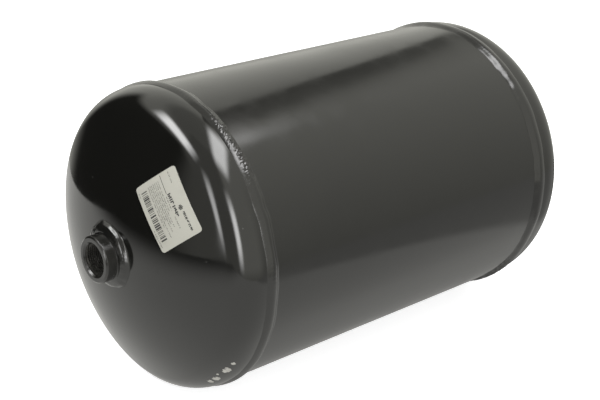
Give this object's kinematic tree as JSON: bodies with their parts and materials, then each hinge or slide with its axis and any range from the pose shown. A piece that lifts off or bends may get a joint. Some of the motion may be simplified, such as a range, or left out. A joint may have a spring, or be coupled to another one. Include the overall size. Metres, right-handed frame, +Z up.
{
  "type": "compressed air reservoir",
  "caption": "Cylindrical welded steel pressure vessel with dished heads, threaded ports and a gloss black finish, for storing compressed air.",
  "frame": {"origin": "on the lowest line of the shell at the middle of the shell's length, where a cradle and straps would hold it", "axes": "+Y along the tank's axis from the front head to the rear head, +Z up, the drain port points along -X"},
  "size_m": [0.2212, 0.3866, 0.2104],
  "materials": {
    "tank_paint": "gloss black paint with slight orange peel",
    "weld_paint": "gloss black paint over a rippled weld bead",
    "boss_paint": "gloss black paint over a turned boss",
    "label": "satin pale label with dark print",
    "rating_plate": "satin foil with dark print"
  },
  "bodies": {
    "root": {"shell": "tank_paint", "front_head": "tank_paint", "rear_head": "tank_paint", "shell_seam_weld": "weld_paint", "front_girth_weld": "weld_paint", "rear_girth_weld": "weld_paint", "front_port_weld": "weld_paint", "rear_port_weld": "weld_paint", "drain_port_weld": "weld_paint", "front_port_boss": "boss_paint", "rear_port_boss": "boss_paint", "drain_port_boss": "boss_paint", "product_label": "label", "rating_plate": "rating_plate"}
  },
  "joints": []
}
